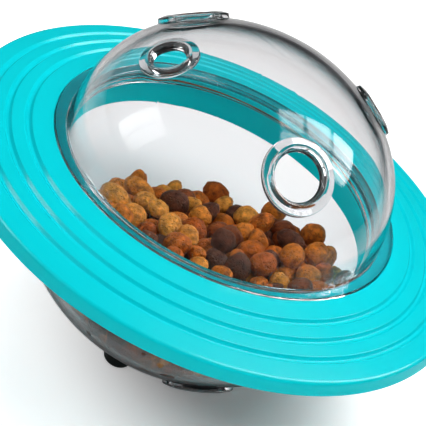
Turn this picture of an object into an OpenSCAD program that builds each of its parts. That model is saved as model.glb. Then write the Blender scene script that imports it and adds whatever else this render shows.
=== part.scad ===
// Wobble treat dispenser: a clear dome and a clear weighted bowl on a turquoise saucer brim.
// Millimetres, +Z up. The origin is the middle of the circle that the four feet stand on.
// The front is -Y. The dome has four open ports, and the bowl has two that are closed by caps.

/* [Dome] */
// Outer radius of the dome where it springs from its flange
dome_r = 65; // [60:0.5:70]
// Radius of the spherical crown beyond that of the dome
dome_flat = 10.8; // [6:0.2:24]
// Radius of the rounded shoulder below the crown
dome_shoulder = 48; // [38:0.5:52]
// Wall thickness of the dome
dome_wall = 2.4; // [1.8:0.1:3.2]
// Width of the flange that rests in the brim
flange_w = 4.9; // [3.5:0.1:7]
// Thickness of the flange
flange_t = 2; // [1.4:0.1:3]
// Length of the threaded neck below the flange
neck_len = 4.4; // [3.5:0.1:6]

/* [Brim] */
// Radius of the brim at its lower outer edge
brim_r = 104.6; // [100:0.2:120]
// Fall of the deck from its inner edge outwards, in degrees
brim_slope = 11.6; // [6:0.2:13]
// Thickness of the deck and of its outer wall
brim_wall = 2.4; // [1.8:0.1:3]
// Height of the outer wall below the edge of the deck
edge_h = 5.2; // [4.6:0.1:8]
// Distance that the outer wall leans out over its height
edge_lean = 1.6; // [0.6:0.1:2]
// Radius of the rounded edge between the deck and the outer wall
edge_round = 1.8; // [1:0.1:2.4]
// Number of grooves around the deck
groove_count = 3; // [1:1:3]
// Distance from the inner edge of the deck to the first groove
groove_start = 9.1; // [6:0.1:11]
// Distance from one groove to the next
groove_pitch = 7.4; // [5:0.1:8]
// Width of a groove
groove_w = 2.2; // [1.2:0.1:3]
// Depth of a groove
groove_d = 0.7; // [0.4:0.1:1]
// Length of the hub's skirt below the inner edge of the deck
skirt_len = 18; // [15:0.5:20]
// Thickness of the skirt, which is threaded inside and outside
skirt_wall = 4; // [3:0.1:5]
// Number of ribs under the deck
rib_count = 24; // [8:1:36]
// Thickness of a rib
rib_t = 1.6; // [1:0.1:2.4]

/* [Bowl] */
// Radius of the spherical bottom beyond that of the wall
bowl_flat = 4.6; // [3:0.2:18]
// Radius of the rounded shoulder above the bottom
bowl_shoulder = 45; // [38:0.5:56]
// Height of the straight wall above the shoulder
bowl_straight = 18.4; // [17:0.2:26]
// Wall thickness of the bowl
bowl_wall = 2.4; // [1.8:0.1:3]

/* [Ports] */
// Bore radius of the large ports, at the front and back of the dome and in the bowl
large_bore_r = 8.8; // [7:0.1:10]
// Bore radius of the small ports, at the sides of the dome
small_bore_r = 6; // [5:0.1:7.5]
// Turns of the dome's front, right, back and left ports about Z, in degrees from the front
port_turns = [0, 98.5, 206.5, 269]; // [0:0.5:360]
// Angles of their axes above the level, in degrees
port_angles = [49.5, 49.5, 49.5, 56.8]; // [42:0.1:58]
// Turns of the bowl's front and back caps about Z, in degrees from the front
cap_turns = [8, 188]; // [0:0.5:360]
// Angle of their axes below the level, in degrees
cap_angle = 52; // [46:0.5:54]
// Width of a port ring around its bore
ring_w = 5; // [4.6:0.1:6]
// Thickness of a port ring at its outer edge
ring_t = 0.6; // [0.4:0.1:0.8]
// Height of a port ring's rim above its seat
rim_h = 1.5; // [1.4:0.1:2.2]
// Radius of the rounded rim
rim_r = 0.7; // [0.5:0.05:0.8]
// Distance that a port's mouth flares out from its bore to the rim
mouth_w = 1.3; // [0.8:0.1:1.6]
// Length of the spigot that reaches into the shell
spigot_len = 1.3; // [1:0.1:1.7]
// Wall of the spigot
spigot_wall = 1.4; // [1:0.1:1.8]
// Depth of a port seat's face below the top of the shell at the port's axis
seat_sink = 0.2; // [0:0.05:0.35]
// Thickness of the closed web of a port cap
web_t = 1.4; // [1:0.1:1.6]

/* [Seals] */
// Thickness of the gasket under the dome's flange
dome_gasket_t = 1.2; // [0.8:0.1:2]
// Thickness of the gasket on the rim of the bowl
bowl_gasket_t = 2; // [1:0.1:3]

/* [Base] */
// Radius of the counterweight
weight_r = 31; // [30:0.2:32]
// Height of the counterweight above the bowl's lowest inside point
weight_h = 11; // [10:0.2:13]
// Wall of the cover over the counterweight
cover_wall = 1.7; // [1.2:0.1:2]
// Radius of a boss inside the cover that takes a screw
boss_r = 4; // [3:0.1:4.6]
// Radius of the circle that the feet stand on
foot_ring_r = 24.6; // [20:0.2:25]
// Turn of the first foot about Z from the front, in degrees
first_foot_turn = 50; // [40:1:55]
// Radius of a foot
foot_r = 6; // [5:0.1:7]
// Distance that the feet stand below the bowl
foot_drop = 3.5; // [2:0.1:5]
// Radius of the rounded lower edge of a foot
foot_round = 2.4; // [1:0.1:2.6]
// Radius of a screw's shank
screw_r = 1.25; // [1:0.05:1.5]
// Radius of a screw's head
head_r = 2.3; // [2:0.1:2.6]
// Height of a screw's head
head_h = 1.8; // [1.4:0.1:2.2]
// Depth of a screw's head inside its foot
head_sink = 0.8; // [0.4:0.1:1.2]

/* [Fits] */
// Gap between threaded or sliding walls
thread_gap = 0.3; // [0.2:0.05:0.5]
// Gap between the bowl and the underplate that moves around it
plate_gap = 0.9; // [0.6:0.1:1.5]
// Gap between curved faces that rest on each other
lay_gap = 0.1; // [0.05:0.05:0.2]

/* [Hidden] */
$fn = 96;

TURQUOISE = "#0BD2DD";
CLEAR = [0.86, 0.88, 0.90, 0.4];
SILICONE = "#E9EEEE";
ZINC = "#8B9096";
RUBBER = "#17201F";
STEEL = "#B9BCC0";

// Places of the dome's ports in port_turns and port_angles
FRONT = 0;
RIGHT = 1;
BACK = 2;
LEFT = 3;
PORTS = [FRONT, RIGHT, BACK, LEFT];

// Turns of the feet about Z from the first foot
FOOT_TURNS = [0, 90, 180, 270];

// Turn of the shells' seams, which keeps them between the ports and the feet
seam_turn = 22.5;

// Depth by which a crown is set down into its shoulder
crease = 0.03;

// Height from the shoulder's centre down to the crown's centre of a dished shell
function crown_drop(r, crown, shoulder) =
    sqrt(pow(crown - shoulder, 2) - pow(r - shoulder, 2));

// Point of a dished shell whose outward normal has the elevation el, as [radius, height]
function shell_point(r, crown, shoulder, el) =
    let (drop = crown_drop(r, crown, shoulder), k = r - shoulder)
    el > atan2(drop, k)
        ? [crown * cos(el), crown * sin(el) - drop]
        : [k + shoulder * cos(el), shoulder * sin(el)];

// Radii from the dome outwards
flange_r = dome_r + flange_w;
recess_r = flange_r + thread_gap;
skirt_in = dome_r + thread_gap;
skirt_out = skirt_in + skirt_wall;
bowl_in = skirt_out + thread_gap;
bowl_r = bowl_in + bowl_wall;
under_in = bowl_r + plate_gap;

// Radii of the spherical crowns
dome_crown = dome_r + dome_flat;
bowl_crown = bowl_r + bowl_flat;

// Heights from the floor up
bowl_center_z = foot_drop + bowl_crown;
bowl_spring_z = bowl_center_z - crown_drop(bowl_r, bowl_crown, bowl_shoulder);
bowl_rim_z = bowl_spring_z + bowl_straight;
hub_floor_z = bowl_rim_z + bowl_gasket_t;
recess_z = hub_floor_z + brim_wall;
flange_z = recess_z + dome_gasket_t;
dome_spring_z = flange_z + flange_t;
brim_z = dome_spring_z - thread_gap;
skirt_z = brim_z - skirt_len;

// Deck of the brim
deck_fall = tan(brim_slope);
deck_r = brim_r - edge_lean;
deck_edge_z = brim_z - deck_fall * (deck_r - recess_r);
edge_z = deck_edge_z - edge_h;
wall_in = deck_r - brim_wall;
deck_down = brim_wall / cos(brim_slope);
hub_wall_r = recess_r + brim_wall;
under_wall = brim_wall;
plate_z = edge_z + brim_wall;

// Base
floor_in_z = foot_drop + bowl_wall;
lay_r = bowl_crown - bowl_wall - lay_gap;
weight_top_z = floor_in_z + weight_h;
cover_in_r = weight_r + thread_gap;
cover_r = cover_in_r + cover_wall;
cover_z = weight_top_z + lay_gap;
screw_top_z = weight_top_z - screw_r;
head_room = head_r + thread_gap;
head_seat_z = head_sink + head_h;

function deck_z(r) = brim_z - deck_fall * (r - recess_r);

// Solid dished form: a straight wall below z = 0, then the shoulder, then the spherical crown.
// The crown is set down by crease, so that it crosses the shoulder in one clean edge.
module dish(r, crown, shoulder, straight, inset) {
    k = r - shoulder;
    blend_r = k * (crown - inset) / (crown - shoulder);
    rotate([0, 0, seam_turn])
        rotate_extrude() {
            translate([0, -straight])
                square([r - inset, straight]);
            intersection() {
                square([r, crown]);
                translate([0, -crown_drop(r, crown, shoulder) - crease])
                    circle(r = crown - inset);
                union() {
                    square([blend_r, crown]);
                    translate([k, 0])
                        circle(r = shoulder - inset);
                }
            }
        }
}

function port_bore(port) = port == FRONT || port == BACK ? large_bore_r : small_bore_r;

// Moves the children from the origin to a port seat on the dome
module on_dome(port) {
    el = port_angles[port];
    p = shell_point(dome_r, dome_crown, dome_shoulder, el);
    rotate([0, 0, port_turns[port]])
        translate([0, -p[0], dome_spring_z + p[1]])
            rotate([90 - el, 0, 0])
                translate([0, 0, -seat_sink])
                    children();
}

// Moves the children from the origin to a cap's seat on the bowl
module on_bowl(turn) {
    p = shell_point(bowl_r, bowl_crown, bowl_shoulder, cap_angle);
    rotate([0, 0, turn])
        translate([0, -p[0], bowl_spring_z - p[1]])
            rotate([90 + cap_angle, 0, 0])
                translate([0, 0, -seat_sink])
                    children();
}

// Outside of a port seat, and the hole through it
function seat_r(bore) = bore + ring_w + lay_gap;
function hole_r(bore) = bore + spigot_wall + lay_gap;

// Depth of the shell behind a seat, to its inner face at the edge of the hole
function seat_depth(bore, wall, crown) = wall + pow(hole_r(bore), 2) / crown - seat_sink;

// Seat of a port, from its face down into the shell
module port_seat(bore, wall, crown) {
    depth = seat_depth(bore, wall, crown);
    translate([0, 0, -depth])
        cylinder(r = seat_r(bore), h = depth);
}

// Open port ring: a flared mouth with a rounded rim, a flat skirt on the seat and a spigot into the shell
module port_ring(bore) {
    rim_x = bore + mouth_w + rim_r;
    rim_z = rim_h - rim_r;
    throat_z = -3 * spigot_len / 4;
    rotate_extrude() {
        polygon([
            [bore, -spigot_len],
            [bore + spigot_wall, -spigot_len],
            [bore + spigot_wall, 0],
            [bore + ring_w, 0],
            [bore + ring_w, ring_t],
            [rim_x, rim_z + rim_r / 2],
            [rim_x - rim_r / 2, rim_z],
            [bore, throat_z]
        ]);
        translate([rim_x, rim_z])
            circle(r = rim_r);
    }
}

// Port cap: the same ring, closed by a flat web across its spigot
module port_cap(bore) {
    port_ring(bore);
    translate([0, 0, -spigot_len])
        cylinder(r = bore + spigot_wall - lay_gap, h = web_t);
}

// Outline of the deck, its rounded outer wall and the hub that carries both threads
module deck_profile() {
    round_r = deck_r - edge_round;
    round_z = deck_edge_z - edge_round;
    round_lean = edge_lean * edge_round / edge_h;
    polygon([
        [skirt_in, skirt_z],
        [skirt_out, skirt_z],
        [skirt_out, hub_floor_z],
        [hub_wall_r, hub_floor_z],
        [hub_wall_r, deck_z(hub_wall_r) - deck_down],
        [wall_in, deck_z(wall_in) - deck_down],
        [wall_in + edge_lean, edge_z],
        [brim_r, edge_z],
        [deck_r + round_lean, round_z],
        [round_r, round_z],
        [round_r, deck_z(round_r)],
        [recess_r, brim_z],
        [recess_r, recess_z],
        [skirt_in, recess_z]
    ]);
    translate([round_r, round_z])
        intersection() {
            circle(r = edge_round + round_lean);
            square(2 * edge_round);
        }
}

// Grooves across the deck's profile
module groove_profile() {
    for (i = [0:groove_count - 1])
        let (r = recess_r + groove_start + i * groove_pitch)
            translate([r, deck_z(r)])
                rotate(-brim_slope)
                    translate([-groove_w / 2, -groove_d])
                        square([groove_w, 2 * groove_d]);
}

// Ribs that stiffen the hollow between the deck and the underplate
module deck_ribs() {
    rib_in = under_in + under_wall + lay_gap;
    rib_out = wall_in + edge_lean / 2;
    intersection() {
        rotate_extrude()
            polygon([
                [rib_in, plate_z],
                [rib_out, plate_z],
                [rib_out, deck_z(wall_in) - deck_down / 2],
                [rib_in, deck_z(rib_in) - deck_down / 2]
            ]);
        for (i = [0:rib_count - 1])
            rotate([0, 0, (i + 0.5) * 360 / rib_count])
                translate([0, -rib_t / 2, 0])
                    cube([brim_r, rib_t, brim_z]);
    }
}

module brim_deck() {
    color(TURQUOISE) {
        rotate_extrude()
            difference() {
                deck_profile();
                groove_profile();
            }
        deck_ribs();
    }
}

// Inner face of the leaning outer wall at a height
function wall_in_r(z) =
    let (top_z = deck_z(wall_in) - deck_down)
    wall_in + edge_lean * (top_z - z) / (top_z - edge_z);

module brim_underplate() {
    color(TURQUOISE)
        rotate_extrude()
            polygon([
                [under_in, edge_z],
                [wall_in_r(edge_z) - lay_gap, edge_z],
                [wall_in_r(plate_z) - lay_gap, plate_z],
                [under_in + under_wall, plate_z],
                [under_in + under_wall, deck_z(under_in + under_wall) - deck_down],
                [under_in, deck_z(under_in + under_wall) - deck_down]
            ]);
}

module upper_dome() {
    color(CLEAR)
        difference() {
            union() {
                translate([0, 0, dome_spring_z])
                    dish(dome_r, dome_crown, dome_shoulder, flange_t + neck_len, 0);
                translate([0, 0, flange_z])
                    cylinder(r = flange_r, h = flange_t);
                for (port = PORTS)
                    on_dome(port)
                        port_seat(port_bore(port), dome_wall, dome_crown);
            }
            translate([0, 0, dome_spring_z])
                dish(dome_r, dome_crown, dome_shoulder, 2 * (flange_t + neck_len), dome_wall);
            for (port = PORTS)
                on_dome(port)
                    cylinder(r = hole_r(port_bore(port)), h = 8 * dome_wall, center = true);
        }
}

module lower_bowl() {
    color(CLEAR)
        difference() {
            union() {
                translate([0, 0, bowl_spring_z])
                    mirror([0, 0, 1])
                        dish(bowl_r, bowl_crown, bowl_shoulder, bowl_straight, 0);
                for (turn = cap_turns)
                    on_bowl(turn)
                        port_seat(large_bore_r, bowl_wall, bowl_crown);
            }
            translate([0, 0, bowl_spring_z])
                mirror([0, 0, 1])
                    dish(bowl_r, bowl_crown, bowl_shoulder, 2 * bowl_straight, bowl_wall);
            for (turn = cap_turns)
                on_bowl(turn)
                    cylinder(r = hole_r(large_bore_r), h = 8 * bowl_wall, center = true);
            at_feet()
                cylinder(r = screw_r + thread_gap, h = weight_top_z);
        }
}

module dome_gasket() {
    color(SILICONE)
        translate([0, 0, recess_z])
            difference() {
                cylinder(r = flange_r, h = dome_gasket_t);
                translate([0, 0, -dome_gasket_t])
                    cylinder(r = skirt_in, h = 3 * dome_gasket_t);
            }
}

module bowl_gasket() {
    color(SILICONE)
        translate([0, 0, bowl_rim_z])
            difference() {
                cylinder(r = bowl_r, h = bowl_gasket_t);
                translate([0, 0, -bowl_gasket_t])
                    cylinder(r = bowl_in, h = 3 * bowl_gasket_t);
            }
}

module dome_port(port) {
    color(CLEAR)
        on_dome(port)
            port_ring(port_bore(port));
}

module bowl_cap(turn) {
    color(CLEAR)
        on_bowl(turn)
            port_cap(large_bore_r);
}

// Moves the children to each of the four feet
module at_feet() {
    for (turn = FOOT_TURNS)
        rotate([0, 0, first_foot_turn + turn])
            translate([0, -foot_ring_r, 0])
                children();
}

// Everything inside the bowl's spherical bottom
module bowl_hollow() {
    translate([0, 0, bowl_center_z])
        sphere(r = lay_r);
}

module counterweight() {
    color(ZINC)
        difference() {
            intersection() {
                bowl_hollow();
                cylinder(r = weight_r, h = weight_top_z);
            }
            at_feet()
                cylinder(r = boss_r + thread_gap, h = 2 * weight_top_z);
        }
}

module weight_cover() {
    color(TURQUOISE)
        intersection() {
            bowl_hollow();
            difference() {
                union() {
                    difference() {
                        cylinder(r = cover_r, h = cover_z + cover_wall);
                        cylinder(r = cover_in_r, h = cover_z);
                    }
                    at_feet()
                        cylinder(r = boss_r, h = cover_z + cover_wall / 2);
                }
                at_feet()
                    cylinder(r = screw_r + lay_gap / 2, h = screw_top_z + lay_gap);
            }
        }
}

module foot(turn) {
    color(RUBBER)
        rotate([0, 0, first_foot_turn + turn])
            difference() {
                translate([0, -foot_ring_r, 0])
                    rotate_extrude()
                        difference() {
                            union() {
                                square([foot_r - foot_round, 2 * foot_r]);
                                translate([0, foot_round])
                                    square([foot_r, 2 * foot_r - foot_round]);
                                translate([foot_r - foot_round, foot_round])
                                    circle(r = foot_round);
                            }
                            square([head_room, head_seat_z]);
                            square([screw_r + lay_gap, 3 * foot_r]);
                        }
                translate([0, 0, bowl_center_z])
                    sphere(r = bowl_crown + lay_gap);
            }
}

module foot_screws() {
    color(STEEL)
        at_feet() {
            translate([0, 0, head_sink])
                cylinder(r = head_r, h = head_h);
            translate([0, 0, head_seat_z])
                cylinder(r = screw_r, h = screw_top_z - head_seat_z);
        }
}

brim_deck();
brim_underplate();
upper_dome();
lower_bowl();
dome_gasket();
bowl_gasket();
dome_port(FRONT);  // dome_port_front
dome_port(RIGHT);  // dome_port_right
dome_port(BACK);  // dome_port_back
dome_port(LEFT);  // dome_port_left
bowl_cap(cap_turns[0]);  // bowl_cap_front
bowl_cap(cap_turns[1]);  // bowl_cap_back
counterweight();
weight_cover();
foot(FOOT_TURNS[0]);  // foot_front_right
foot(FOOT_TURNS[1]);  // foot_back_right
foot(FOOT_TURNS[2]);  // foot_back_left
foot(FOOT_TURNS[3]);  // foot_front_left
foot_screws();
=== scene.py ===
"""Looks of the wobble treat dispenser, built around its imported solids.

All lengths are metres in the part's own frame: +Z up, the feet on z = 0, a large port at the front, -Y.
"""

import math
from functools import cache

import bmesh
import bpy
import numpy as np
from mathutils import Matrix, Vector


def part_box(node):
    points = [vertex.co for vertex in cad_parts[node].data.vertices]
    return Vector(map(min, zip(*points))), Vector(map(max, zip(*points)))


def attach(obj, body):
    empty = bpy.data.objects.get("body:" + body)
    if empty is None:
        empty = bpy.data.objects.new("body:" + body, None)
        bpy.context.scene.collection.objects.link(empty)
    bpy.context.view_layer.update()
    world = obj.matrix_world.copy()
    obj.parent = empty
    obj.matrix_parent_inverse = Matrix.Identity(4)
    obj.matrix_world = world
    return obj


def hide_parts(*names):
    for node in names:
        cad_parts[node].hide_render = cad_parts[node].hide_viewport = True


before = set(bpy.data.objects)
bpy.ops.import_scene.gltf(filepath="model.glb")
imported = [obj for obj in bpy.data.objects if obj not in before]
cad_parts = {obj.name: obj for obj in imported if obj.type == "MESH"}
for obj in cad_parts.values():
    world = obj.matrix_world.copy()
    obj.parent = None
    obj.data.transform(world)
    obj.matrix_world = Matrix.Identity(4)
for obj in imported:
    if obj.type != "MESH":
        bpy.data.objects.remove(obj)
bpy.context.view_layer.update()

bl_info = {
    "name": "Wobble treat dispenser",
    "version": (1, 0, 0),
    "blender": (4, 5, 0),
    "location": "View3D > Sidebar > Dispenser",
    "description": "Clear dome, clear weighted bowl and grooved saucer brim of a rolling treat dispenser",
    "category": "Object",
}

MM = 0.001

# Heights and radii that the solids already fix
FLANGE_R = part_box("upper_dome")[1].x
NECK_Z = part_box("upper_dome")[0].z
RECESS_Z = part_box("dome_gasket")[0].z
FLANGE_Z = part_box("dome_gasket")[1].z
RIM_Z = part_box("bowl_gasket")[0].z
HUB_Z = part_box("bowl_gasket")[1].z
BOWL_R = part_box("bowl_gasket")[1].x
BOWL_BASE_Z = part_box("lower_bowl")[0].z
BRIM_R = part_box("brim_deck")[1].x
BRIM_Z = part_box("brim_deck")[1].z
SKIRT_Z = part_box("brim_deck")[0].z
EDGE_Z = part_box("brim_underplate")[0].z
COVER_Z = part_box("weight_cover")[1].z
COVER_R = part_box("weight_cover")[1].x

# Steps around the pieces, along a shell's meridian and from a port to the edge of its sector
ROUND_STEPS = 256
RING_STEPS = 128
FOOT_STEPS = 96
SCREW_STEPS = 48
MERIDIAN_STEPS = 40
SHELL_STEPS = 30

SCREW_HEAD_H = 1.8 * MM
SIDES = ("front", "right", "back", "left")
FEET = ("foot_front_right", "foot_back_right", "foot_back_left", "foot_front_left")


def length(name, description, millimetres):
    """Length property, given in millimetres and kept in metres."""
    return bpy.props.FloatProperty(
        name=name, description=description, default=millimetres * MM, min=0, unit="LENGTH", precision=5
    )


def angles(name, description, *degrees):
    """Property of several angles, given in degrees and kept in radians."""
    return bpy.props.FloatVectorProperty(
        name=name, description=description, default=[math.radians(d) for d in degrees], size=len(degrees),
        unit="ROTATION",
    )


def hex_linear(text):
    """Linear colour of an sRGB hex value, by the sRGB transfer curve."""
    code = np.array([int(text[i:i + 2], 16) for i in (1, 3, 5)]) / 255
    return tuple(np.where(code <= 0.04045, code / 12.92, ((code + 0.055) / 1.055) ** 2.4))


def colour(name, description, text):
    """Colour property with an sRGB hex default."""
    return bpy.props.FloatVectorProperty(
        name=name, description=description, default=hex_linear(text), min=0, max=1, size=3, subtype="COLOR"
    )


class DispenserSizes(bpy.types.PropertyGroup):
    """Sizes of the mouldings."""

    wall: length("Wall", "Wall of the dome, the bowl and the brim", 2.4)
    dome_r: length("Dome radius", "Outer radius of the dome at its flange", 65)
    dome_crown: length("Dome crown", "Radius of the dome's spherical crown", 75.8)
    dome_shoulder: length("Dome shoulder", "Radius of the dome's rounded shoulder", 48)
    flange_t: length("Flange", "Thickness of the dome's flange", 2)
    bowl_crown: length("Bowl crown", "Radius of the bowl's spherical bottom", 76.6)
    bowl_shoulder: length("Bowl shoulder", "Radius of the bowl's rounded shoulder", 45)
    bowl_straight: length("Bowl wall", "Height of the bowl's straight wall", 18.4)
    skirt_wall: length("Skirt", "Thickness of the hub's threaded skirt", 4)
    edge_lean: length("Edge lean", "Lean of the brim's outer wall", 1.6)
    edge_round: length("Edge round", "Radius of the brim's outer edge", 1.8)
    edge_h: length("Edge height", "Height of the brim's outer wall", 5.2)
    plate_gap: length("Plate gap", "Gap between the brim's closing plate and the bowl", 0.9)
    groove_start: length("First groove", "From the deck's inner edge to the first groove", 9.1)
    groove_pitch: length("Groove pitch", "From one groove to the next", 7.4)
    groove_w: length("Groove width", "Width of a groove", 2.8)
    groove_d: length("Groove depth", "Depth of a groove", 1.1)
    large_bore: length("Large port", "Bore radius of front and back ports and caps", 8.8)
    small_bore: length("Small port", "Bore radius of the dome's side ports", 6)
    ring_w: length("Ring width", "Width of a port ring around its bore", 5)
    ring_t: length("Ring edge", "Thickness of a port ring at its outer edge", 0.6)
    rim_h: length("Ring rim", "Height of a port ring's rim above its seat", 1.5)
    mouth_w: length("Ring mouth", "Flare of a port's mouth", 1.3)
    crest: length("Ring crest", "From a port's mouth to the crest's middle", 0.7)
    crest_out: length("Crest outside", "From the crest's middle to its outer edge", 0.5)
    crest_in: length("Crest inside", "From the crest's middle to its inner edge", 0.6)
    spigot_len: length("Spigot", "Length of the spigot in the shell", 1.3)
    spigot_wall: length("Spigot wall", "Wall of the spigot", 1.4)
    seat_sink: length("Port seat", "Depth of a port's seat below the shell's top", 0.2)
    web: length("Cap web", "Thickness of a cap's closed web", 1.4)
    foot_r: length("Foot", "Radius of a foot", 6)
    foot_round: length("Foot edge", "Radius of a foot's lower edge", 2.4)
    fit: length("Fit", "Gap between threaded walls", 0.3)
    lay: length("Lay", "Gap between faces that rest on each other", 0.1)
    bond: length("Bond", "Layer between a port ring and its seat", 0.05)
    skin: length("Skin", "Least gap between two clear faces", 0.04)
    thread_d: length("Thread depth", "Height of the screw threads", 0.7)
    thread_lead: length("Thread lead", "Rise of the screw threads in one turn", 14)
    port_turns: angles("Port turns", "Turns of the front, right, back and left ports", 0, 98.5, 206.5, 269)
    port_slants: angles("Port slants", "Elevations of their axes", 49.5, 49.5, 49.5, 56.8)
    cap_turns: angles("Cap turns", "Turns of the bowl's front and back caps", 8, 188)
    cap_slants: angles("Cap slants", "Angles of their axes below the level", 52, 52)


class DispenserColours(bpy.types.PropertyGroup):
    """Colours of the finishes."""

    brim: colour("Brim", "Turquoise of the brim", "#05DFE9")
    brim_deep: colour("Brim shade", "Deeper turquoise of its flow marks", "#03D7E3")
    clear: colour("Shells", "Tint of the clear shells", "#FDFDFE")
    # The shells' grey at a glancing angle is painted shade on their edges, not a colour of the plastic
    limb: colour("Limbs", "Grey of clear plastic at a glancing angle", "#303135")
    ports: colour("Ports", "Tint of the clear port rings", "#FAFBFC")
    silicone: colour("Gaskets", "Clear silicone of the gaskets", "#EEF3F4")
    rubber: colour("Feet", "Dark rubber of the feet", "#0E1A19")
    zinc: colour("Weight", "As-cast zinc of the counterweight", "#8D9298")
    steel: colour("Screws", "Bright plating of the screws", "#C6C9CC")
    treat_light: colour("Light treats", "Golden tan treats", "#E0963A")
    treat_mid: colour("Mid treats", "Orange-brown treats", "#CB7020")
    treat_red: colour("Red treats", "Reddish-brown treats", "#AF5418")
    treat_dark: colour("Dark treats", "Dark brown treats", "#5A3220")
    floor: colour("Floor", "Pale studio floor", "#FAFAFA")


class DispenserFill(bpy.types.PropertyGroup):
    """Treats inside the dispenser."""

    count: bpy.props.IntProperty(name="Treats", description="Number of treats in the bowl", default=540, min=1)
    seed: bpy.props.IntProperty(name="Seed", description="Start of the random draws", default=11)
    radius: length("Treat radius", "Mean radius of a treat", 4.85)
    lean_x: bpy.props.FloatProperty(name="Lean X", description="Rise of the heap along X", default=0.135)
    lean_y: bpy.props.FloatProperty(name="Lean Y", description="Rise of the heap along Y", default=-0.235)


def sizes():
    """Sizes set in the panel."""
    return bpy.context.scene.dispenser_sizes


def colours():
    """Colours set in the panel, as linear RGBA."""
    group = bpy.context.scene.dispenser_colours
    return {name: (*getattr(group, name), 1.0) for name in group.__annotations__}


# Surfaces

def unit(vectors):
    """Vectors scaled to length one, along the last axis."""
    return vectors / np.linalg.norm(vectors, axis=-1, keepdims=True)


def direction(azimuth, elevation):
    """Unit vector at an azimuth from the front, -Y, and at an elevation, both in radians."""
    level = math.cos(elevation)
    return np.array([math.sin(azimuth) * level, -math.cos(azimuth) * level, math.sin(elevation)])


def rounded_outline(corners, steps=5, hold=0.25 * MM):
    """Outline with an arc at each corner (r, z, radius in millimetres), tangent to both its sides.

    The arc's centre lies on the corner's bisector at radius / sin(half angle). Each straight stretch gets
    one more point near either end, which keeps its shading flat.
    """
    corner, radius = np.array(corners)[:, :2], np.array(corners)[:, 2:] * MM
    to_last = unit(np.roll(corner, 1, 0) - corner)
    to_next = unit(np.roll(corner, -1, 0) - corner)
    angle = np.arccos(np.clip((to_last * to_next).sum(1), -1, 1))[:, None]
    reach = radius / np.tan(angle / 2)
    centre = corner + unit(to_last + to_next) * radius / np.sin(angle / 2)
    start = (corner + to_last * reach - centre)[:, None]
    end = (corner + to_next * reach - centre)[:, None]
    sweep = (np.pi - angle)[:, :, None]
    share = np.linspace(0, 1, steps + 1)[None, :, None]
    arc = (np.sin((1 - share) * sweep) * start + np.sin(share * sweep) * end) / np.sin(sweep) + centre[:, None]
    onward = np.roll(arc[:, 0], -1, 0)
    stretch = onward - arc[:, -1]
    span = np.linalg.norm(stretch, axis=1, keepdims=True)
    step = np.minimum(hold, span / 3) * stretch / span
    held = np.stack([arc[:, -1] + step, onward - step], 1)
    return np.concatenate([arc, held], 1).reshape(-1, 2)


def turned(outline, steps=ROUND_STEPS):
    """Surface of revolution: a point (r, z) of the outline at azimuth a becomes (r sin a, -r cos a, z)."""
    azimuth = np.arange(steps) * 2 * np.pi / steps
    r, z = np.asarray(outline)[:, 0, None], np.asarray(outline)[:, 1, None]
    return np.stack([r * np.sin(azimuth), -r * np.cos(azimuth), z + 0 * azimuth], -1)


def threaded(points, wall_r, low, high, inward):
    """Screw thread cut into the rows of a turned surface that lie on a wall.

    With four starts, the phase is z / pitch less the azimuth's quarter turns. The wall drops by a smooth
    cosine power between the crests, and fades to plain at the thread's ends.
    """
    size = sizes()
    r = np.hypot(points[..., 0], points[..., 1])
    z = points[..., 2]
    azimuth = np.arctan2(points[..., 0], -points[..., 1])
    pitch = size.thread_lead / 4
    phase = 2 * np.pi * (z - size.thread_lead * azimuth / (2 * np.pi)) / pitch
    root = (0.5 - 0.5 * np.cos(phase)) ** 0.6
    fade = np.clip((z - low) / MM, 0, 1) * np.clip((high - z) / MM, 0, 1)
    on_wall = np.abs(r - wall_r) < 0.01 * MM
    cut = np.where(on_wall, size.thread_d * root * fade, 0) * (-1 if inward else 1)
    made = points.copy()
    made[..., :2] *= ((r + cut) / np.maximum(r, MM))[..., None]
    return made


def arc_points(r, z, radius, first, last, steps):
    """Points of an arc about (r, z) between two angles, in degrees from the outward direction."""
    angle = np.radians(np.linspace(first, last, steps))
    return np.stack([r + radius * np.cos(angle), z + radius * np.sin(angle)], -1)


def dense_wall(r, low, high, spacing=0.35 * MM):
    """Points of a straight wall at radius r, close enough together to carry a thread."""
    z = np.linspace(low, high, 2 + int(abs(high - low) / spacing))
    return np.stack([np.full_like(z, r), z], -1)


def grid_faces(rows, columns, wrap_rows, wrap_columns):
    """Corner numbers of the quads of a grid of points, closed in the directions that wrap."""
    i = np.arange(rows if wrap_rows else rows - 1)[:, None]
    j = np.arange(columns if wrap_columns else columns - 1)[None, :]
    row, next_row, j_next = i * columns, (i + 1) % rows * columns, (j + 1) % columns
    corners = np.broadcast_arrays(row + j, row + j_next, next_row + j_next, next_row + j)
    return np.stack(corners, -1).reshape(-1, 4)


def new_object(name, data):
    """Object of the scene with the given mesh, lamp or camera."""
    made = bpy.data.objects.new(name, data)
    bpy.context.scene.collection.objects.link(made)
    return made


def mesh_from_grids(name, grids, sharp=32, weld=0.002 * MM):
    """Mesh object of one or more grids of points, each given as (points, wrap rows, wrap columns).

    Touching edges are welded and the faces turned outwards. Edges over the sharp angle, in degrees, stay crisp.
    """
    points, faces, first = [], [], 0
    for grid, wrap_rows, wrap_columns in grids:
        faces.append(first + grid_faces(*grid.shape[:2], wrap_rows, wrap_columns))
        points.append(grid.reshape(-1, 3))
        first += len(points[-1])
    mesh = bpy.data.meshes.new(name)
    mesh.from_pydata(np.concatenate(points), [], np.concatenate(faces))
    work = bmesh.new()
    work.from_mesh(mesh)
    bmesh.ops.remove_doubles(work, verts=work.verts, dist=weld)
    bmesh.ops.dissolve_degenerate(work, edges=work.edges, dist=weld)
    bmesh.ops.recalc_face_normals(work, faces=work.faces)
    work.to_mesh(mesh)
    work.free()
    mesh.shade_smooth()
    mesh.set_sharp_from_angle(angle=math.radians(sharp))
    return new_object(name, mesh)


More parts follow.
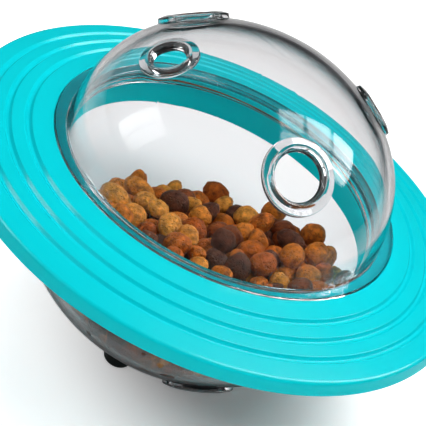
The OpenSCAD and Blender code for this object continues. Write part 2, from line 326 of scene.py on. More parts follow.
def fit_piece(name, grids, body, slot, material, *replaced):
    """Make a piece that rides on its body, with its finish and the solids that it stands for."""
    piece = mesh_from_grids(name, grids)
    piece.data.materials.append(material)
    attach(piece, body)
    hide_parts(*replaced)


class Shell:
    """Dished shell: a shoulder arc between the straight wall and a spherical crown.

    A point is set by its azimuth and by the elevation of its normal. Below the blend the radius is
    k + shoulder cos(el) and the height shoulder sin(el). Above it they are crown cos(el) and
    crown sin(el) - drop. The two arcs share their tangent at the blend.
    """

    def __init__(self, radius, crown, shoulder, spring_z, up):
        self.k = radius - shoulder
        self.crown, self.shoulder = crown, shoulder
        self.drop = math.sqrt((crown - shoulder) ** 2 - self.k ** 2)
        self.blend = math.atan2(self.drop, self.k)
        self.spring_z, self.up = spring_z, up

    def point(self, azimuth, elevation, inset=0.0):
        """Point of the shell's outer face, or of the face that lies inset behind it."""
        high = elevation > self.blend
        arc = np.where(high, self.crown, self.shoulder) - inset
        r = np.where(high, 0, self.k) + arc * np.cos(elevation)
        z = arc * np.sin(elevation) - np.where(high, self.drop, 0)
        return np.stack([r * np.sin(azimuth), -r * np.cos(azimuth), self.spring_z + self.up * z], -1)

    def port_axes(self, turn, slant):
        """Place of a port on the outer face, with its side, up and outward directions."""
        place = self.point(np.array(turn), np.array(slant))
        side = np.array([math.cos(turn), math.sin(turn), 0])
        out = direction(turn, self.up * slant)
        return place, side, np.cross(out, side), out

    def sector(self, turn, slant, bore, arc):
        """Sector of the shell around one port, as a grid from its inner to its outer face.

        In the flat chart where a point lies at its distance from the pole, (90 deg - el), and at its azimuth,
        the sector is a pie slice whose rim has the azimuths arc. Rays from the port run to points spaced along
        the slice's edge. On each ray the distance from the port's axis is solved for the hole and for the seat
        by halving.
        """
        size = sizes()
        hole_r, seat_r = bore + size.spigot_wall + size.lay, bore + size.ring_w + size.lay
        pole = np.pi / 2
        run = np.linspace(0, pole, MERIDIAN_STEPS, endpoint=False)
        far = np.concatenate([run, np.full(len(arc), pole), run[::-1]])
        bearing = np.concatenate([np.full(len(run), arc[0]), arc, np.full(len(run), arc[-1])]) - turn
        edge = np.stack([far * np.sin(bearing), far * np.cos(bearing)], -1)
        start = np.array([0, pole - slant])
        place, side, rise, out = self.port_axes(turn, slant)

        def on_ray(share, inset):
            chart = start + np.asarray(share)[..., None] * (edge - start)
            azimuth = turn + np.arctan2(chart[..., 0], chart[..., 1])
            return self.point(azimuth, pole - np.hypot(chart[..., 0], chart[..., 1]), inset)

        def off_axis(points):
            away = points - place
            return np.linalg.norm(away - (away @ out)[..., None] * out, axis=-1)

        def share_at(radius, inset):
            low, high = np.zeros(len(edge)), np.ones(len(edge))
            for _ in range(40):
                middle = (low + high) / 2
                inside = off_axis(on_ray(middle, inset)) < radius
                low, high = np.where(inside, middle, low), np.where(inside, high, middle)
            return low

        spread = np.linspace(0, 1, SHELL_STEPS + 1)[:, None]
        inner_share, outer_share = share_at(hole_r, size.wall), share_at(seat_r, 0.0)
        inner = on_ray(inner_share + (1 - inner_share) * spread[::-1], size.wall)
        outer = on_ray(outer_share + (1 - outer_share) * spread, 0.0)
        away = outer[0] - place
        angle = np.arctan2(away @ rise, away @ side)
        ring = np.cos(angle)[:, None] * side + np.sin(angle)[:, None] * rise
        edge_round = 0.25 * MM
        reach = np.array([hole_r, seat_r - edge_round, seat_r - 0.3 * edge_round, seat_r])[:, None, None]
        height = -size.seat_sink - edge_round * np.array([0, 0, 0.3, 1])[:, None, None]
        return np.concatenate([inner, place + out * height + ring * reach, outer])


def dome_form():
    """The dome's dished shell, and the turn, slant and bore of its ports by side."""
    size = sizes()
    shell = Shell(size.dome_r, size.dome_crown, size.dome_shoulder, FLANGE_Z + size.flange_t, 1)
    bores = (size.large_bore, size.small_bore, size.large_bore, size.small_bore)
    return shell, dict(zip(SIDES, zip(size.port_turns, size.port_slants, bores)))


def bowl_form():
    """The bowl's dished shell, upside down, and the turn, slant and bore of its caps by side."""
    size = sizes()
    shell = Shell(BOWL_R, size.bowl_crown, size.bowl_shoulder, RIM_Z - size.bowl_straight, -1)
    bores = (size.large_bore, size.large_bore)
    return shell, dict(zip(SIDES[::2], zip(size.cap_turns, size.cap_slants, bores)))


def shell_sectors(shell, ports):
    """Sectors of a shell, each around its port and halfway to the next, on the steps around the shell."""
    turns = np.array([turn for turn, slant, bore in ports])
    last = np.concatenate([turns[-1:] - 2 * np.pi, turns[:-1]])
    step = 2 * np.pi / ROUND_STEPS
    first = np.round((turns + last) / 2 / step).astype(int)
    end = np.append(first[1:], first[0] + ROUND_STEPS)
    return [
        (shell.sector(*port, np.arange(i, j + 1) * step), False, False) for port, i, j in zip(ports, first, end)
    ]


def ring_corners(bore):
    """Corners that rings and caps share: spigot wall, flat underside, thin edge and crest."""
    size = sizes()
    crest = bore + size.mouth_w + size.crest
    return [
        (bore + size.spigot_wall, -size.spigot_len, 0.25), (bore + size.spigot_wall, size.bond, 0.1),
        (bore + size.ring_w, size.bond, 0.12), (bore + size.ring_w, size.ring_t, 0.25),
        (crest + size.crest_out, size.rim_h, 0.7), (crest - size.crest_in, size.rim_h, 0.6),
    ]


def mouth_z():
    """Height at which a port's bore starts to flare."""
    return -0.75 * sizes().spigot_len


def port_outline(bore):
    """Half section of an open port ring, whose flared mouth runs down into the bore."""
    corners = [(bore, -sizes().spigot_len, 0.2), *ring_corners(bore), (bore, mouth_z(), 0.4)]
    return rounded_outline(corners, 6, 0.15 * MM)


def seated(points, shell, turn, slant):
    """Points of a port's own frame (side, up, out) moved to the face of its seat on the shell."""
    place, side, rise, out = shell.port_axes(turn, slant)
    return place - out * sizes().seat_sink + points @ np.stack([side, rise, out])


# Finishes, each made once and shared by the pieces that have it

def add_node(tree, kind, inputs=None, **settings):
    """Add a shader node with its settings, and set or link its inputs."""
    made = tree.nodes.new("ShaderNode" + kind)
    for name, value in settings.items():
        setattr(made, name, value)
    for name, value in (inputs or {}).items():
        if isinstance(value, bpy.types.NodeSocket):
            tree.links.new(value, made.inputs[name])
        else:
            made.inputs[name].default_value = value
    return made


def new_material(name):
    """Empty material, its node tree, its output node and the coordinates of its piece."""
    made = bpy.data.materials.new(name)
    made.use_nodes = True
    tree = made.node_tree
    tree.nodes.clear()
    place = add_node(tree, "TexCoord").outputs["Object"]
    return made, tree, add_node(tree, "OutputMaterial"), place


def noise(tree, place, millimetres, detail):
    """Noise whose cells measure that many millimetres."""
    inputs = {"Vector": place, "Scale": 1 / (millimetres * MM), "Detail": detail}
    return add_node(tree, "TexNoise", inputs).outputs["Fac"]


def stretched(tree, value, low, high, least=0.0, most=1.0, **settings):
    """Value that runs from low to high while the one given runs from least to most."""
    inputs = {"Value": value, "From Min": least, "From Max": most, "To Min": low, "To Max": high}
    return add_node(tree, "MapRange", inputs, **settings).outputs[0]


def maths(tree, operation, first, second):
    """Two values put together by a math operation."""
    return add_node(tree, "Math", {0: first, 1: second}, operation=operation).outputs[0]


def mixed(tree, share, first, second):
    """Mix of two colours."""
    return add_node(tree, "Mix", {0: share, 6: first, 7: second}, data_type="RGBA").outputs[2]


def relief(tree, height, strength, millimetres):
    """Normals of a skin whose height varies by that many millimetres."""
    inputs = {"Height": height, "Strength": strength, "Distance": millimetres * MM}
    return add_node(tree, "Bump", inputs).outputs["Normal"]


def principled(tree, output, inputs):
    """Principled shader as the surface of a material."""
    shader = add_node(tree, "BsdfPrincipled", inputs)
    tree.links.new(shader.outputs[0], output.inputs["Surface"])
    return shader.outputs[0]


@cache
def moulded_abs():
    """Glossy injection-moulded ABS: an even colour with faint flow marks and a very fine orange peel."""
    tint = colours()
    made, tree, output, place = new_material("Moulded ABS, turquoise gloss")
    principled(tree, output, {
        "Base Color": mixed(tree, noise(tree, place, 45, 3), tint["brim"], tint["brim_deep"]),
        "Roughness": stretched(tree, noise(tree, place, 9, 4), 0.16, 0.2, 0.3, 0.7),
        "Normal": relief(tree, noise(tree, place, 1.2, 1), 0.03, 0.03),
        "IOR": 1.52, "Specular IOR Level": 0.14,
    })
    return made


# Clear plastics: tint, refractive index, waviness, light lost per metre inside, tint of what they mirror, and
# share of a lamp's light that each of their faces lets through
CLEAR_PLASTICS = {
    "Clear polycarbonate, polished": ("clear", 1.56, 0.03, 24, (0.12, 0.12, 0.125, 1), (0.84, 0.84, 0.85, 1)),
    "Clear soft PVC, polished": ("ports", 1.5, 0.02, 60, (0.8, 0.8, 0.82, 1), (0.8, 0.8, 0.81, 1)),
    "Moulded silicone, clear": ("silicone", 1.42, 0.05, 90, (0.6, 0.6, 0.6, 1), (0.8, 0.8, 0.8, 1)),
}


@cache
def clear_moulding(name):
    """Polished clear plastic: it bends what is behind it, mirrors the lamps and lets most of their light pass.

    Rays from lamps pass straight through, as they nearly do through a thin even wall. A long, faint waviness
    of the mould makes the reflections swim a little. Where a ray meets the wall at a glancing angle, the tint
    turns grey: painted shade that stands in for the darker edge where light runs along inside the wall.
    """
    tint, ior, waviness, smoke, mirror, passed = CLEAR_PLASTICS[name]
    tints = colours()
    made, tree, output, place = new_material(name)
    # Painted shade: the tint turns grey where the wall is seen at a glancing angle
    glance_for_painted_shade = add_node(tree, "LayerWeight", {"Blend": 0.5}).outputs["Facing"]
    plastic = principled(tree, output, {
        "Base Color": mixed(tree, stretched(tree, glance_for_painted_shade, 0, 1, 0.62, 0.84), tints[tint], tints["limb"]),
        "Roughness": 0.015,
        "Normal": relief(tree, noise(tree, place, 28, 1), waviness, 0.3),
        "IOR": ior, "Transmission Weight": 1.0, "Specular Tint": mirror,
    })
    passing = add_node(tree, "BsdfTransparent", {"Color": passed}).outputs[0]
    from_lamp = add_node(tree, "LightPath").outputs["Is Shadow Ray"]
    both = add_node(tree, "MixShader", {0: from_lamp, 1: plastic, 2: passing})
    tree.links.new(both.outputs[0], output.inputs["Surface"])
    haze = add_node(tree, "VolumeAbsorption", {"Color": (0.02, 0.02, 0.03, 1), "Density": smoke})
    tree.links.new(haze.outputs[0], output.inputs["Volume"])
    return made


@cache
def moulded_rubber():
    """Moulded nitrile rubber: a soft, slightly smeared gloss over a fine even grain."""
    made, tree, output, place = new_material("Moulded nitrile rubber, dark")
    principled(tree, output, {
        "Base Color": colours()["rubber"],
        "Roughness": stretched(tree, noise(tree, place, 6, 2), 0.176, 0.264),
        "Normal": relief(tree, noise(tree, place, 0.35, 3), 0.08, 0.1),
        "IOR": 1.45,
    })
    return made


@cache
def metal_skin(name, tint, roughness, grain_mm, depth):
    """Bare or plated metal: a mottled sheen over the grain that casting or plating leaves."""
    made, tree, output, place = new_material(name)
    grain = noise(tree, place, grain_mm, 4)
    principled(tree, output, {
        "Base Color": colours()[tint],
        "Metallic": 1.0,
        "Roughness": stretched(tree, grain, roughness * 0.75, roughness * 1.25),
        "Normal": relief(tree, grain, depth, 0.2),
    })
    return made


@cache
def baked_treat():
    """Oven-dried kibble: each piece has its own brown, a mottled crust, open pores with painted shade in their
    hollows and a little fat sheen.
    """
    tint = colours()
    made, tree, output, place = new_material("Baked treat crust")
    tone = add_node(tree, "Attribute", attribute_name="bake").outputs["Fac"]
    ramp = add_node(tree, "ValToRGB", {"Fac": tone})
    stops = ramp.color_ramp.elements
    for _ in range(2):
        stops.new(0.5)
    browns = {"treat_light": 0.02, "treat_mid": 0.28, "treat_red": 0.54, "treat_dark": 0.78}
    for stop, (name, at) in zip(stops, browns.items()):
        stop.position, stop.color = at, tint[name]
    crust = noise(tree, place, 2.6, 6)
    pores = add_node(tree, "TexVoronoi", {"Vector": place, "Scale": 1 / (1.2 * MM)})
    # Painted shade: the crust darkens in the pores' hollows, where the bump sinks; the slow mottle is the
    # crust's own tone
    pit = stretched(tree, pores.outputs["Distance"], 0.52, 1, 0.05, 0.4)
    mottle_and_pore_shade = maths(tree, "MULTIPLY", pit, stretched(tree, crust, 0.38, 1.28, 0.3, 0.7))
    shade = add_node(tree, "VectorMath", {0: ramp.outputs["Color"], "Scale": mottle_and_pore_shade}, operation="SCALE")
    principled(tree, output, {
        "Base Color": shade.outputs[0],
        "Roughness": stretched(tree, crust, 0.42, 0.75),
        "Normal": relief(tree, maths(tree, "ADD", pit, noise(tree, place, 0.9, 4)), 1.0, 0.8),
        "IOR": 1.45, "Specular IOR Level": 0.15,
    })
    return made


# Operators

class PieceOperator:
    """What the operators share: each is a step that can be undone."""

    bl_options = {"REGISTER", "UNDO"}


class DISPENSER_OT_brim(PieceOperator, bpy.types.Operator):
    """Turn the saucer brim: the grooved deck with its threaded hub, and the plate that closes it below"""

    bl_idname = "dispenser.brim"
    bl_label = "Brim"

    def execute(self, context):
        size = sizes()
        recess_r = FLANGE_R + size.fit
        deck_r = BRIM_R - size.edge_lean
        deck_edge_z = EDGE_Z + size.edge_h
        fall = (BRIM_Z - deck_edge_z) / (deck_r - recess_r)
        under = size.wall * math.hypot(1, fall)
        skirt_in = size.dome_r + size.fit
        skirt_out = skirt_in + size.skirt_wall
        hub_r = recess_r + size.wall
        wall_in = deck_r - size.wall

        def deck(r):
            return BRIM_Z - fall * (r - recess_r)

        grooves = []
        for i in (2, 1, 0):
            middle = recess_r + size.groove_start + i * size.groove_pitch
            lip, foot, root, brow = middle + np.array([0.5, 0.14, -0.2, -0.5]) * size.groove_w
            grooves += [(lip, deck(lip), 0.35), (foot, deck(foot) - size.groove_d, 0.4)]
            grooves += [(root, deck(root) - size.groove_d, 0.4), (brow, deck(brow), 0.3)]
        corners = [
            (skirt_out, HUB_Z, 0.3), (hub_r, HUB_Z, 0.3), (hub_r, deck(hub_r) - under, 0.5),
            (wall_in, deck(wall_in) - under, 0.8), (wall_in + size.edge_lean, EDGE_Z, 0.3),
            (BRIM_R, EDGE_Z, 0.5), (deck_r, deck_edge_z, size.edge_round / MM),
            *grooves,
            (recess_r, BRIM_Z, 0.3), (recess_r, RECESS_Z, 0.3), (skirt_in, RECESS_Z, 0.4),
            (skirt_in, SKIRT_Z, 0.5), (skirt_out, SKIRT_Z, 0.5),
        ]
        outline = rounded_outline(corners)
        per_corner = len(outline) // len(corners)
        # The skirt's walls keep clear of its rounded corners, and the outer thread of that wall's ends
        top, bottom, runout = 0.6 * MM, 0.8 * MM, 1.5 * MM
        inner = dense_wall(skirt_in, RECESS_Z - top, SKIRT_Z + bottom)
        outer = dense_wall(skirt_out, SKIRT_Z + bottom, HUB_Z - top)
        cut = (len(corners) - 2) * per_corner
        outline = np.concatenate([outline[:cut], inner, outline[cut:], outer])
        grid = threaded(turned(outline), skirt_in, NECK_Z - 0.5 * MM, RECESS_Z - 0.4 * MM, False)
        grid = threaded(grid, skirt_out, SKIRT_Z + runout, HUB_Z - runout, True)
        abs_gloss = moulded_abs()
        fit_piece("saucer_brim", [(grid, True, True)], "brim", "turquoise_plastic", abs_gloss, "brim_deck")
        under_in = BOWL_R + size.plate_gap
        collar = under_in + size.wall
        plate_z = EDGE_Z + size.wall
        wall_top = deck(wall_in) - under
        lean_in = size.edge_lean * (wall_top - plate_z) / (wall_top - EDGE_Z)
        plate = turned(rounded_outline([
            (under_in, EDGE_Z, 0.6), (wall_in + size.edge_lean - size.lay, EDGE_Z, 0.2),
            (wall_in + lean_in - size.lay, plate_z, 0.2), (collar, plate_z, 0.4),
            (collar, deck(collar) - under, 0.3), (under_in, deck(collar) - under, 0.3),
        ]))
        grids = [(plate, True, True)]
        fit_piece("brim_closing_plate", grids, "brim", "turquoise_plastic", abs_gloss, "brim_underplate")
        return {"FINISHED"}


class DISPENSER_OT_dome(PieceOperator, bpy.types.Operator):
    """Mould the clear dome with its port seats, flange and threaded neck"""

    bl_idname = "dispenser.dome"
    bl_label = "Dome"

    def execute(self, context):
        size = sizes()
        shell, ports = dome_form()
        inner_r = size.dome_r - size.wall
        corners = [
            (FLANGE_R, shell.spring_z, 0.5), (FLANGE_R, FLANGE_Z, 0.4), (size.dome_r, FLANGE_Z, 0.2),
            (size.dome_r, NECK_Z, 0.5), (inner_r, NECK_Z, 0.5), (inner_r, shell.spring_z, 0.2),
        ]
        rounding = rounded_outline(corners)
        per_corner = len(rounding) // len(corners)
        top, bottom = 0.3 * MM, 0.7 * MM
        neck = dense_wall(size.dome_r, FLANGE_Z - top, NECK_Z + bottom)
        foot = np.concatenate([
            [(size.dome_r, shell.spring_z)], rounding[:3 * per_corner - 2], neck,
            rounding[3 * per_corner:5 * per_corner - 2], [(inner_r, shell.spring_z)],
        ])
        collar = threaded(turned(foot), size.dome_r, NECK_Z + 0.3 * MM, FLANGE_Z - 0.5 * MM, True)
        sectors = shell_sectors(shell, ports.values())
        clear = clear_moulding("Clear polycarbonate, polished")
        fit_piece("clear_dome", [*sectors, (collar, False, True)], "dome", "clear_plastic", clear, "upper_dome")
        return {"FINISHED"}


class DISPENSER_OT_bowl(PieceOperator, bpy.types.Operator):
    """Mould the clear weighted bowl with its port seats and threaded rim"""

    bl_idname = "dispenser.bowl"
    bl_label = "Bowl"

    def execute(self, context):
        size = sizes()
        shell, caps = bowl_form()
        inner_r = BOWL_R - size.wall
        lip = 0.6 * MM
        rim = np.concatenate([
            dense_wall(BOWL_R, shell.spring_z, RIM_Z - lip, spacing=1.2 * MM)[:-1],
            arc_points(BOWL_R - lip, RIM_Z - lip, lip, 0, 90, 6),
            arc_points(inner_r + lip, RIM_Z - lip, lip, 90, 180, 6),
            dense_wall(inner_r, RIM_Z - lip, shell.spring_z)[1:],
        ])
        wall = threaded(turned(rim), inner_r, SKIRT_Z + 1.5 * MM, RIM_Z - 1.2 * MM, False)
        sectors = shell_sectors(shell, caps.values())
        clear = clear_moulding("Clear polycarbonate, polished")
        fit_piece("clear_bowl", [*sectors, (wall, False, True)], "base", "clear_plastic", clear, "lower_bowl")
        return {"FINISHED"}


class DISPENSER_OT_ports(PieceOperator, bpy.types.Operator):
    """Turn the open port rings of the dome and the closed port caps of the bowl"""

    bl_idname = "dispenser.ports"
    bl_label = "Ports and caps"

    def execute(self, context):
        clear = clear_moulding("Clear soft PVC, polished")
        kinds = (
            (dome_form(), port_outline, True, "port_ring_", "dome", "dome_port_"),
            (bowl_form(), self.cap_outline, False, "port_cap_", "base", "bowl_cap_"),
        )
        for (shell, ports), outline, open_bore, name, body, node in kinds:
            for side, (turn, slant, bore) in ports.items():
                points = seated(turned(outline(bore), RING_STEPS), shell, turn, slant)
                fit_piece(name + side, [(points, open_bore, True)], body, "port_plastic", clear, node + side)
        return {"FINISHED"}

    def cap_outline(self, bore):
        """Half section of a cap: a ring whose mouth ends at a web that reaches to the axis."""
        size = sizes()
        ring = ring_corners(bore)
        web_z = size.web - size.spigot_len
        flare = (web_z - mouth_z()) / (size.rim_h - mouth_z())
        mouth_r = bore + flare * (ring[-1][0] - bore)
        corners = [(0, -size.spigot_len, 0.1), *ring, (mouth_r, web_z, 0.4), (0, web_z, 0.1)]
        outline = rounded_outline(corners, 6, 0.15 * MM)
        per_corner = len(outline) // len(corners)
        return np.concatenate([[corners[0][:2]], outline[per_corner:-per_corner], [corners[-1][:2]]])


class DISPENSER_OT_gaskets(PieceOperator, bpy.types.Operator):
    """Turn the two flat silicone gaskets with rounded edges"""

    bl_idname = "dispenser.gaskets"
    bl_label = "Gaskets"

    def execute(self, context):
        size = sizes()
        silicone = clear_moulding("Moulded silicone, clear")
        spans = {
            "dome_gasket": (size.dome_r + size.fit, FLANGE_R, RECESS_Z, FLANGE_Z, "dome_seal"),
            "bowl_gasket": (BOWL_R - size.wall, BOWL_R, RIM_Z, HUB_Z, "bowl_seal"),
        }
        for node, (inside, outside, low, high, body) in spans.items():
            low, high = low + size.skin, high - size.skin
            corners = [(inside, low, 0.3), (outside, low, 0.3), (outside, high, 0.3), (inside, high, 0.3)]
            ring = turned(rounded_outline(corners))
            fit_piece("flat_" + node, [(ring, True, True)], body, "silicone", silicone, node)
        return {"FINISHED"}


class DISPENSER_OT_base(PieceOperator, bpy.types.Operator):
    """Finish the counterweight and its cover, and mould the rubber feet with their screws"""

    bl_idname = "dispenser.base"
    bl_label = "Weight and feet"

    def execute(self, context):
        finishes = {
            "counterweight": metal_skin("Cast zinc, as cast", "zinc", 0.5, 0.7, 0.5),
            "weight_cover": moulded_abs(),
        }
        for node, finish in finishes.items():
            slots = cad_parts[node].data.materials
            slots.clear()
            slots.append(finish)
        rubber = moulded_rubber()
        steel = metal_skin("Zinc-plated steel", "steel", 0.28, 0.3, 0.08)
        screws = []
        for node in FEET:
            low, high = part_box(node)
            middle = (np.array(low.xy) + np.array(high.xy)) / 2
            grids = [(self.foot(middle), False, True)]
            fit_piece("rubber_" + node, grids, "base", "foot_rubber", rubber, node)
            screws.append((self.screw(middle), False, True))
        fit_piece("foot_screw_set", screws, "base", "screw_steel", steel, "foot_screws")
        return {"FINISHED"}

    def foot(self, middle):
        """Foot: a turned button whose top is laid against the bowl's sphere."""
        size = sizes()
        bore, shank, bevel, rim = 2.6 * MM, 1.35 * MM, 0.3 * MM, 0.2 * MM
        seat_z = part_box("foot_screws")[0].z + SCREW_HEAD_H
        edge = arc_points(size.foot_r - size.foot_round, size.foot_round, size.foot_round, -90, 0, 10)
        hole = [(shank, seat_z), (bore, seat_z), (bore, bevel), (bore + bevel, 0)]
        lower = turned(np.concatenate([hole, edge]), FOOT_STEPS)
        top_r = np.concatenate([[size.foot_r], np.linspace(size.foot_r - rim, shank, 8)])
        upper = turned(np.stack([top_r, 0 * top_r], -1), FOOT_STEPS)
        points = np.concatenate([lower, upper, lower[:1]])
        points[..., :2] += middle
        reach = np.hypot(points[..., 0], points[..., 1])
        on_bowl = BOWL_BASE_Z + size.bowl_crown - np.sqrt((size.bowl_crown + size.lay) ** 2 - reach ** 2)
        points[len(lower):-1, :, 2] = on_bowl[len(lower):-1]
        return points

    def screw(self, middle):
        """Pan-head screw: a crowned head with a cross recess, and a threaded shank.

        The recess is a dip of the head where either of two crossed slots, with soft flanks, is near.
        """
        low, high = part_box("foot_screws")
        head_r, crown_h, chamfer = 2.3 * MM, 0.45 * MM, 0.15 * MM
        shank, thread_d, pitch = 1.25 * MM, 0.12 * MM, 0.8 * MM
        slot_half, slot_flank, slot_end, slot_run, slot_d = np.array([0.45, 0.2, 1.5, 0.3, 0.9]) * MM
        r = np.linspace(0, head_r, 15)
        head = np.stack([r, low.z + crown_h * (r / head_r) ** 4], -1)
        neck_z = low.z + SCREW_HEAD_H
        side = np.array([(head_r, low.z + SCREW_HEAD_H * 0.7), (head_r - chamfer, neck_z)])
        z = np.linspace(neck_z, high.z, 60)
        ridge = shank - thread_d + thread_d * np.cos(2 * np.pi * z / pitch)
        points = turned(np.concatenate([head, side, np.stack([ridge, z], -1), [(0, high.z)]]), SCREW_STEPS)
        x, y = points[:len(head), :, 0], points[:len(head), :, 1]
        in_slot = np.clip((slot_half - np.minimum(np.abs(x), np.abs(y))) / slot_flank, 0, 1)
        points[:len(head), :, 2] += slot_d * in_slot * np.clip((slot_end - np.hypot(x, y)) / slot_run, 0, 1)
        points[..., :2] += middle
        return points


class DISPENSER_OT_treats(PieceOperator, bpy.types.Operator):
    """Pour the baked treats into the bowl and let them settle into a leaning heap"""

    bl_idname = "dispenser.treats"
    bl_label = "Treats"

    def execute(self, context):
        fill = context.scene.dispenser_fill
        draw = np.random.default_rng(fill.seed)
        radius = fill.radius * draw.uniform(0.78, 1.2, fill.count)
        centre = self.settle(draw, radius)
        piece = self.crusts(draw, centre, radius)
        piece.data.materials.append(baked_treat())
        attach(piece, "base")
        return {"FINISHED"}

    def settle(self, draw, radius):
        """Centres of the treats at rest.

        Each step moves all treats down by a little, then pushes apart those that overlap by half the overlap
        each, and moves those outside the bowl, the hub or the weight's cover back along the wall's normal.
        """
        size = sizes()
        fill = bpy.context.scene.dispenser_fill
        shell, _ = bowl_form()
        count = len(radius)
        spill_r, spill_z, fall_mm, most_shares = 0.045, (0.03, 0.12), 0.9, 2.2
        turn, reach = draw.uniform(0, 2 * np.pi, count), spill_r * np.sqrt(draw.uniform(0, 1, count))
        z = draw.uniform(*spill_z, count)
        centre = np.stack([reach * np.cos(turn), reach * np.sin(turn), z], -1)
        down = -unit(np.array([-fill.lean_x, -fill.lean_y, 1.0]))
        touch = radius[:, None] + radius[None, :]
        np.fill_diagonal(touch, 0)
        steps = 260
        for step in range(steps):
            centre = centre + down * fall_mm * MM * (1 - step / steps)
            for _ in range(2):
                apart = centre[:, None] - centre[None, :]
                gap = np.linalg.norm(apart, axis=-1) + 1e-9
                overlap = np.maximum(touch - gap, 0) / gap * 0.5
                near = np.maximum((overlap > 0).sum(1), 1)
                centre = centre + (apart * overlap[..., None]).sum(1) / np.minimum(near, most_shares)[:, None]
                centre = self.kept_in(centre, radius, shell, size)
        return centre

    def kept_in(self, centre, radius, shell, size):
        """Centres moved back inside the bowl's arcs, the hub's bore and off the weight's cover."""
        r = np.hypot(centre[:, 0], centre[:, 1])
        z = centre[:, 2]
        low = z < shell.spring_z
        depth = shell.spring_z - z
        crown = low & (depth > np.tan(shell.blend) * np.maximum(r - shell.k, 0))
        arc = np.where(crown, shell.crown, shell.shoulder) - size.wall - radius
        off_r, off_z = r - np.where(crown, 0, shell.k), depth + np.where(crown, shell.drop, 0)
        off = np.hypot(off_r, off_z)
        pull = np.where(low & (off > arc) & (off_r > 0), arc / np.maximum(off, MM), 1)
        new_r = np.where(low, r - off_r * (1 - pull), np.minimum(r, size.dome_r - size.wall - radius))
        new_z = np.where(low, z + off_z * (1 - pull), z)
        lid = COVER_Z + radius
        new_z = np.where((new_r < COVER_R) & (new_z < lid), lid, new_z)
        return np.concatenate([centre[:, :2] * (new_r / np.maximum(r, 1e-9))[:, None], new_z[:, None]], 1)

    def crusts(self, draw, centre, radius):
        """Crusts of all treats: squashed balls, ovals and discs with lumps of four slow sine waves.

        Each treat gets one value of how brown it is, so that its whole crust has one tone.
        """
        count, rings, spokes, lump, crease = len(radius), 9, 12, 0.045, 80
        polar = np.linspace(0, np.pi, rings)[:, None]
        around = np.arange(spokes)[None, :] * 2 * np.pi / spokes
        ball = np.stack(np.broadcast_arrays(
            np.sin(polar) * np.cos(around), np.sin(polar) * np.sin(around), np.cos(polar)
        ), -1)
        forms = np.array([(1.02, 1.0, 0.95), (1.34, 0.94, 0.86), (1.14, 1.08, 0.8), (1.18, 0.98, 0.92)])
        stretch = forms[draw.integers(0, len(forms), count)] * draw.uniform(0.94, 1.06, (count, 3))
        wave = draw.normal(0, 2.2, (count, 4, 3))
        phase = draw.uniform(0, 2 * np.pi, (count, 4))
        lumps = np.sin(np.einsum("ijk,nlk->nijl", ball, wave) + phase[:, None, None, :]).sum(-1)
        shape = ball[None] * (1 + lump * lumps[..., None]) * stretch[:, None, None, :]
        shape = shape * radius[:, None, None, None]
        basis, _ = np.linalg.qr(draw.normal(0, 1, (count, 3, 3)))
        points = np.einsum("nijk,nlk->nijl", shape, basis) + centre[:, None, None, :]
        piece = mesh_from_grids("treat_fill", [(grid, False, True) for grid in points], crease)
        tone = np.repeat(draw.uniform(0, 1, count), len(piece.data.vertices) // count)
        bake = piece.data.attributes.new("bake", "FLOAT", "POINT")
        bake.data.foreach_set("value", tone.astype(np.float32))
        return piece


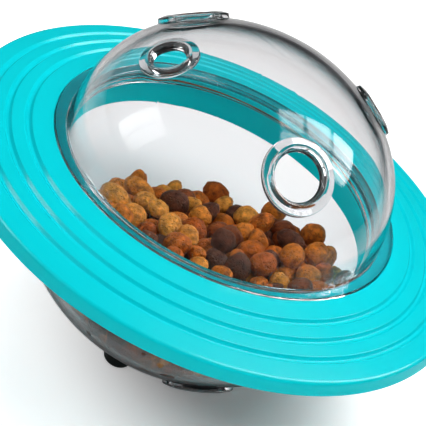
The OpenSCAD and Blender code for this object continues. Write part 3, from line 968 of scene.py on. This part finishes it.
class DISPENSER_OT_stage(PieceOperator, bpy.types.Operator):
    """Set up the pale floor, the soft lamps and the camera of the photograph"""

    bl_idname = "dispenser.stage"
    bl_label = "Stage"

    def execute(self, context):
        self.floor()
        self.lamps()
        self.camera()
        context.scene.view_settings.view_transform = "Standard"
        return {"FINISHED"}

    def floor(self):
        """Wide floor disc, just under the feet. The camera sees it glow, less so in the part's own shadow:
        painted light away from a fixed spot under the part, and painted shadow at that spot.
        """
        rings = np.array([0.0, 0.4, 1.0, 2.5, 6.0])
        outline = np.stack([rings, np.full_like(rings, -0.05 * MM)], -1)
        piece = mesh_from_grids("floor", [(turned(outline, 96), False, True)])
        made, tree, output, place = new_material("Pale studio floor")
        plain = add_node(tree, "BsdfDiffuse", {"Color": colours()["floor"]})
        path = add_node(tree, "LightPath").outputs
        # Painted light and painted shadow: the glow that the camera sees is dim near a fixed spot under the
        # part and brighter away from it
        shadow, near, far = (45 * MM, -15 * MM, 0), 25 * MM, 100 * MM
        away = add_node(tree, "VectorMath", {0: place, 1: shadow}, operation="DISTANCE")
        level = stretched(tree, away.outputs["Value"], 0.13, 0.68, near, far, interpolation_type="SMOOTHSTEP")
        direct = maths(tree, "MULTIPLY", path["Is Camera Ray"], level)
        through = maths(tree, "MULTIPLY", path["Is Transmission Ray"], 0.16)
        share = maths(tree, "MAXIMUM", direct, through)
        glow = add_node(tree, "Emission", {"Color": (1, 1, 1, 1), "Strength": share})
        both = add_node(tree, "AddShader", {0: plain.outputs[0], 1: glow.outputs[0]})
        tree.links.new(both.outputs[0], output.inputs["Surface"])
        piece.data.materials.append(made)

    def lamps(self):
        """Dim sky that darkens towards the horizon, white to the camera, and softboxes made of panes."""
        world = bpy.data.worlds.new("Studio")
        world.use_nodes = True
        tree = world.node_tree
        tree.nodes.clear()
        way = add_node(tree, "TexCoord").outputs["Generated"]
        height = add_node(tree, "SeparateXYZ", {0: way}).outputs["Z"]
        seen = add_node(tree, "LightPath").outputs["Is Camera Ray"]
        level = maths(tree, "MAXIMUM", stretched(tree, height, 0.03, 0.11, 0.05, 0.8), seen)
        sky = add_node(tree, "Background", {"Color": (1, 1, 1, 1), "Strength": level})
        output = add_node(tree, "OutputWorld")
        tree.links.new(sky.outputs[0], output.inputs["Surface"])
        bpy.context.scene.world = world
        # Cards that gloss mirrors: azimuth, elevation, distance, width, height, radiance, columns, rows
        self.softbox("right_window", 90, 54, 1.0, 0.46, 0.82, 16.0, 2, 3, card=True)
        self.softbox("left_softbox", -100, 24, 1.0, 0.42, 0.6, 9.0, 2, 1, card=True)
        # Lamps that light matt surfaces
        self.softbox("key_softbox", -80, 36, 1.8, 1.3, 1.1, 1.5)
        self.softbox("right_softbox", 110, 66, 2.0, 1.2, 1.0, 4.2)
        self.softbox("top_softbox", 30, 70, 2.0, 1.2, 1.2, 5.2)

    def softbox(
        self, name, azimuth, elevation, distance, width, tall, radiance, columns=1, rows=1, card=False
    ):
        """Softbox as columns and rows of panes between bars, by angles in degrees and lengths in metres."""
        bar = 0.03
        away = Vector(direction(math.radians(azimuth), math.radians(elevation)))
        facing = away.to_track_quat("Z", "Y")
        for column, row in np.ndindex(columns, rows):
            lamp = bpy.data.lights.new(name, "AREA")
            lamp.shape = "RECTANGLE"
            lamp.size, lamp.size_y = width / columns - bar, tall / rows - bar
            lamp.energy = math.pi * lamp.size * lamp.size_y * radiance
            across, above = (column + 0.5) / columns - 0.5, (row + 0.5) / rows - 0.5
            holder = new_object(name, lamp)
            holder.location = Vector((0, 0, BRIM_Z)) + away * distance
            holder.location += facing @ Vector((across * width, above * tall, 0))
            holder.rotation_euler = facing.to_euler()
            holder.visible_glossy = holder.visible_transmission = card
            holder.visible_diffuse = not card

    def camera(self):
        """Camera of the photograph: it looks down past the brim's middle and leans, so that the brim slopes.

        The brim's middle lies at (across, above) on the image plane's axes at the given distance.
        """
        azimuth, elevation, lean = math.radians(-28.09), math.radians(33.463), math.radians(27.541)
        distance, across, above = 535.9 * MM, 5.98 * MM, 16.45 * MM
        back = direction(azimuth, elevation)
        level = np.array([math.cos(azimuth), math.sin(azimuth), 0])
        rise = np.cross(back, level)
        right = math.cos(lean) * level + math.sin(lean) * rise
        up = math.cos(lean) * rise - math.sin(lean) * level
        place = np.array([0, 0, BRIM_Z]) + distance * back - across * right - above * up
        lens = bpy.data.cameras.new("photo_camera")
        lens.sensor_width, lens.lens = 36, 118.3
        lens.clip_start, lens.clip_end = 0.01, 50
        holder = new_object("photo_camera", lens)
        turn = np.eye(4)
        turn[:3] = np.stack([right, up, back, place], -1)
        holder.matrix_world = Matrix(turn.tolist())
        bpy.context.scene.camera = holder


class DISPENSER_PT_panel(bpy.types.Panel):
    """Sidebar panel with the pieces, their sizes and their colours"""

    bl_idname = "DISPENSER_PT_panel"
    bl_label = "Treat dispenser"
    bl_space_type = "VIEW_3D"
    bl_region_type = "UI"
    bl_category = "Dispenser"

    def draw(self, context):
        for operator in OPERATORS:
            self.layout.operator(operator.bl_idname)
        for name, group in GROUPS.items():
            box = self.layout.box()
            for value in group.__annotations__:
                box.prop(getattr(context.scene, name), value)


OPERATORS = (
    DISPENSER_OT_brim, DISPENSER_OT_dome, DISPENSER_OT_bowl, DISPENSER_OT_ports, DISPENSER_OT_gaskets,
    DISPENSER_OT_base, DISPENSER_OT_treats, DISPENSER_OT_stage,
)
GROUPS = {
    "dispenser_sizes": DispenserSizes, "dispenser_colours": DispenserColours, "dispenser_fill": DispenserFill
}


def register():
    """Register the groups, the operators and the panel."""
    for made in (*GROUPS.values(), *OPERATORS, DISPENSER_PT_panel):
        bpy.utils.register_class(made)
    for name, group in GROUPS.items():
        setattr(bpy.types.Scene, name, bpy.props.PointerProperty(type=group))


def unregister():
    """Undo register."""
    for name in GROUPS:
        delattr(bpy.types.Scene, name)
    for made in (DISPENSER_PT_panel, *reversed(OPERATORS), *reversed(GROUPS.values())):
        bpy.utils.unregister_class(made)


def main():
    """Make every piece in order."""
    register()
    bpy.ops.dispenser.brim()
    bpy.ops.dispenser.dome()
    bpy.ops.dispenser.bowl()
    bpy.ops.dispenser.ports()
    bpy.ops.dispenser.gaskets()
    bpy.ops.dispenser.base()
    bpy.ops.dispenser.treats()
    bpy.ops.dispenser.stage()


if __name__ == "__main__":
    main()
